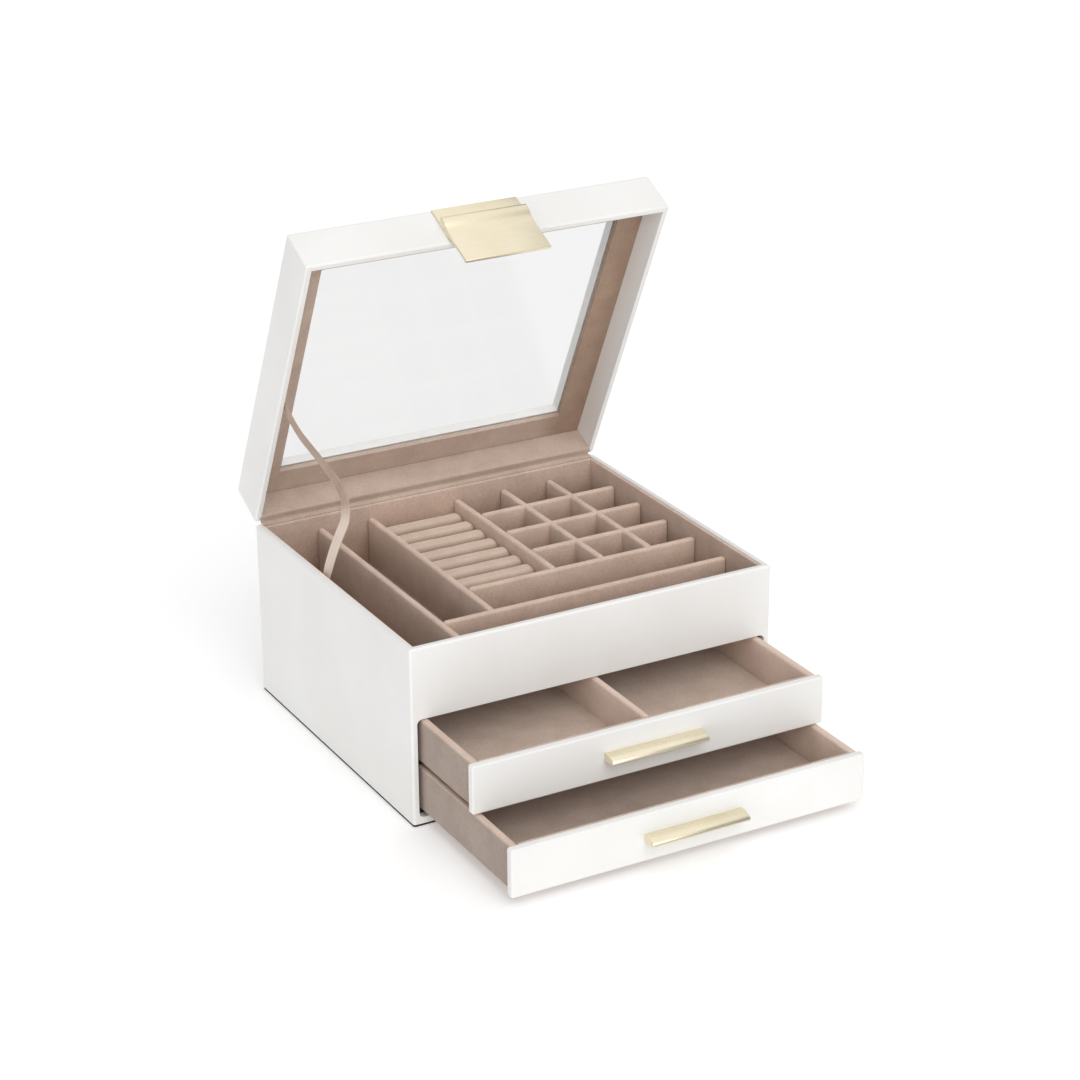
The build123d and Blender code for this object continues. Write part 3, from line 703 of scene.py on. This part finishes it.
# Profiles are (y, z) in millimetres. Those marked lid are as they lie with the lid shut.
hinge = {
    "foldCase": [(97.80, 105.9), (97.80, 106.5), (97.86, 107.05), (98.12, 107.52), (98.65, 107.82),
                 (99.3, 107.88), (99.95, 107.72), (100.45, 107.38), (100.8, 107.12), (101.05, 107.1)],
    "foldLid": [(100.75, 107.50), (100.1, 107.60), (99.2, 107.62), (98.2, 107.64), (97.45, 107.68),
                (96.98, 107.90), (96.78, 108.35), (96.72, 109.2), (96.70, 111.0), (96.70, 114.0),
                (96.70, 117.0), (96.70, 120.0), (96.70, 122.5), (96.75, 124.2)],
    "foldWidth": 222.8, "foldThickness": 0.5,
    "stripCase": [(101.15, 93.2), (101.22, 96.0), (101.25, 99.0), (101.25, 102.0), (101.25, 104.5),
                  (101.28, 105.8), (101.42, 106.7)],
    "stripLid": [(101.42, 107.85), (101.28, 108.7), (101.25, 110.0), (101.25, 112.5), (101.25, 115.5),
                 (101.22, 117.8), (101.15, 119.2)],
    "stripWidth": 214.0, "stripThickness": 0.5, "across": 40,
}


def openedPoint(point):
    moved = openTurn @ Vector((0, point[0] / 1000, point[1] / 1000))
    return (moved.y, moved.z)


def hingeSheet(name, casePart, lidPart, width, thickness, outward):
    profile = [(y / 1000, z / 1000) for y, z in casePart] + [openedPoint(p) for p in lidPart]
    half = width / 2000
    sheet = drawProfile(name, profile, -half, closed=False)
    stretchAcross(2 * half, hinge["across"])
    leaveEdit()
    tidyMesh(sheet)
    # faces look out of the joint on the outside, and up and forward on the inside
    lead = sum((f.normal for f in sheet.data.polygons), Vector()).y
    if (lead > 0) != outward:
        makeActive(sheet)
        bpy.ops.object.mode_set(mode="EDIT")
        bpy.ops.mesh.select_all(action="SELECT")
        bpy.ops.mesh.flip_normals()
        leaveEdit()
    curve = sheet.modifiers.new("curve", "SUBSURF")
    curve.levels = curve.render_levels = 1
    thick = sheet.modifiers.new("thickness", "SOLIDIFY")
    thick.thickness = thickness / 1000
    thick.offset = 0.0
    applyModifiers(sheet)
    smooth(sheet, 50)
    return sheet


velvetFold = hingeSheet("velvetFold", hinge["foldCase"], hinge["foldLid"], hinge["foldWidth"],
                        hinge["foldThickness"], False)
velvetFold.data.materials.append(foldVelvet)
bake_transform(velvetFold)
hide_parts("hinge_velvet", "lid_rear_liner")

leatherHinge = hingeSheet("leatherHinge", hinge["stripCase"], hinge["stripLid"], hinge["stripWidth"],
                          hinge["stripThickness"], True)
leatherHinge.data.materials.append(whiteLeather)
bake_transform(leatherHinge)
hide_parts("hinge_strip_on_case", "hinge_strip_on_lid")

print("ribbon")
ribbon = {
    "start": (-0.1067, 0.0196, 0.101), "width": 0.006, "thickness": 0.0006, "length": 0.1298,
    # in millimetres: how far it bulges, how far along the straight line between its ends, and how
    # far it leans out to lie flat on the tray's liner and on the lid's wall
    "route": [(0.5, -2.5, -3.1), (12.0, 10.5, -2.9), (21.5, 21.0, -1.6), (32.0, 30.5, -0.2),
              (35.0, 45.5, 0.0), (20.0, 67.0, -1.0), (5.5, 89.0, -3.6), (4.0, 106.0, -5.4)],
    "rise": (0, 46.63, 93.03), "lean": 0.22,
    # how far its face is turned out of the walls' plane, in degrees, from the case's end to the lid's
    "turn": [8, 28, 28, 28, 33, 30, 12, 5, 6, 6, 0],
    "across": 5, "cup": 0.00025,
}


def ribbonPoints():
    rise = Vector(ribbon["rise"])
    along = rise.normalized()
    bulge = Vector((ribbon["lean"], -along.z, along.y)).normalized()
    start = Vector(ribbon["start"])
    return [start + (bulge * b + along * a + Vector((out, 0, 0))) / 1000
            for b, a, out in ribbon["route"]]


def addRibbon():
    points = ribbonPoints()
    line = bpy.data.curves.new("ribbonRoute", "CURVE")
    line.dimensions = "3D"
    line.resolution_u = 12
    spline = line.splines.new("NURBS")
    spline.points.add(len(points) - 1)
    for place, point in zip(spline.points, points):
        place.co = (*point, 1)
    spline.order_u = 3
    spline.use_endpoint_u = True
    route = bpy.data.objects.new("ribbonRoute", line)
    bpy.context.scene.collection.objects.link(route)
    followed = bpy.data.meshes.new_from_object(route)
    path = [v.co.copy() for v in followed.vertices]
    bpy.data.objects.remove(route)
    total = sum((b - a).length for a, b in zip(path, path[1:]))
    print("ribbon length", round(total, 4))

    # a strip laid along the path, turning slowly from one end to the other
    deselectAll()
    bpy.ops.mesh.primitive_grid_add(x_subdivisions=ribbon["across"] - 1,
                                    y_subdivisions=len(path) - 1, size=1)
    strip = bpy.context.object
    strip.name = strip.data.name = "ribbonStay"
    rows = {}
    for v in strip.data.vertices:
        rows.setdefault(round(v.co.y, 5), []).append(v)
    heights = sorted(rows)
    uvs = strip.data.uv_layers.active
    uvs.name = "weave"
    for loop in strip.data.loops:
        co = strip.data.vertices[loop.vertex_index].co
        uvs.data[loop.index].uv = ((co.y + 0.5) * total, (co.x + 0.5) * ribbon["width"])
    turns = ribbon["turn"]
    walked = 0.0
    for i, point in enumerate(path):
        tangent = (path[min(i + 1, len(path) - 1)] - path[max(i - 1, 0)]).normalized()
        if i:
            walked += (path[i] - path[i - 1]).length
        place = walked / total * (len(turns) - 1)
        k = min(int(place), len(turns) - 2)
        blend = place - k
        blend = blend * blend * (3 - 2 * blend)
        angle = math.radians(turns[k] * (1 - blend) + turns[k + 1] * blend)
        flat = tangent.cross(Vector((1, 0, 0))).normalized()
        side = flat.cross(tangent).normalized()
        across = flat * math.cos(angle) - side * math.sin(angle)
        face = across.cross(tangent).normalized()
        for v in rows[heights[i]]:
            u = v.co.x * 2
            v.co = point + across * (u * ribbon["width"] / 2) + face * (ribbon["cup"] * u * u)
    thick = strip.modifiers.new("thickness", "SOLIDIFY")
    thick.thickness = ribbon["thickness"]
    thick.offset = 0.0
    soft = strip.modifiers.new("edge", "SUBSURF")
    soft.levels = soft.render_levels = 1
    applyModifiers(strip)
    smooth(strip, 50)
    strip.data.materials.append(ribbonSatin)
    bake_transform(strip)
    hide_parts("ribbon")


addRibbon()

print("handles")
handle = {
    # the section, (out from the front, up from its middle), in millimetres
    "section": [(0, -2.2), (0, 2.2), (1.6, 2.28), (3.2, 2.2), (4.8, 1.98), (6.2, 1.62), (7.35, 1.16),
                (7.6, 1.0), (8.3, 0.62), (8.95, 0.05), (9.32, -0.62), (9.46, -1.2), (9.30, -1.62),
                (8.8, -1.86), (7.6, -2.0), (5.6, -2.16), (3.0, -2.24)],
    "length": 61.0, "edge": 0.00022, "endInset": 0.0006, "endDepth": -0.00012,
}


def addHandle(tier):
    low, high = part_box(f"{tier}_drawer_handle")
    frontY, middleZ = high.y, (low.z + high.z) / 2 + 0.0002
    half = handle["length"] / 2000
    points = [(frontY - out / 1000, middleZ + up / 1000) for out, up in handle["section"]]
    bar = drawProfile(f"{tier}Handle", points, -half)
    stretchAcross(2 * half)
    leaveEdit()
    tidyMesh(bar)
    pick(bar, "EDGE", lambda e: abs(abs(middle(e).x) - half) < 1e-5 and not runsAlong(e, 0)
         and middle(e).y < frontY - 1e-5)
    bpy.ops.mesh.bevel(offset=handle["edge"], segments=3, profile=0.5, affect="EDGES")
    leaveEdit()
    pick(bar, "FACE", lambda f: abs(f.normal.x) > 0.99 and f.calc_area() > 0.00001)
    bpy.ops.mesh.inset(thickness=handle["endInset"], depth=handle["endDepth"])
    leaveEdit()
    smooth(bar, 22)
    finish(bar, f"{tier}_drawer", "gold", brushedGold, f"{tier}_drawer_handle")


addHandle("upper")
addHandle("lower")

print("catch tab")
tab = {
    # the section, (out from the lid, up from its rim), in millimetres
    "section": [(0, 6.0), (0, 27.2), (0.9, 27.2), (1.25, 26.9), (1.3, 26.4), (1.3, 22.0), (1.3, 17.6),
                (1.45, 16.5), (1.9, 15.95), (2.6, 15.85), (3.4, 16.05), (4.2, 16.25), (4.9, 16.15),
                (5.35, 15.8), (5.58, 15.2), (5.6, 14.4), (5.5, 13.4), (5.2, 12.0), (4.75, 10.6),
                (4.2, 9.2), (3.75, 7.8), (3.4, 6.2), (3.15, 4.2), (3.0, 2.0), (2.95, -0.5),
                (2.95, -4.0), (2.98, -8.0), (3.0, -12.0), (3.02, -16.0), (3.04, -18.3), (2.96, -18.47),
                (2.85, -18.5), (1.5, -18.5), (1.38, -18.4), (1.36, -17.8), (1.35, -14.0), (1.3, -8.0),
                (1.15, -2.0), (0.8, 2.0)],
    "width": 54.0, "edge": 0.00025,
}


def addTab():
    half = tab["width"] / 2000
    points = [(chest["frontY"] - out / 1000, chest["lidBottom"] + up / 1000)
              for out, up in tab["section"]]
    plate = drawProfile("catchTab", points, -half)
    stretchAcross(2 * half)
    leaveEdit()
    tidyMesh(plate)
    pick(plate, "EDGE", lambda e: abs(abs(middle(e).x) - half) < 1e-5 and not runsAlong(e, 0)
         and middle(e).y < chest["frontY"] - 1e-5)
    bpy.ops.mesh.bevel(offset=tab["edge"], segments=3, profile=0.5, affect="EDGES")
    leaveEdit()
    swingOpen(plate)
    smooth(plate, 24)
    finish(plate, "lid", "gold", brushedGold, "catch_tab")


addTab()
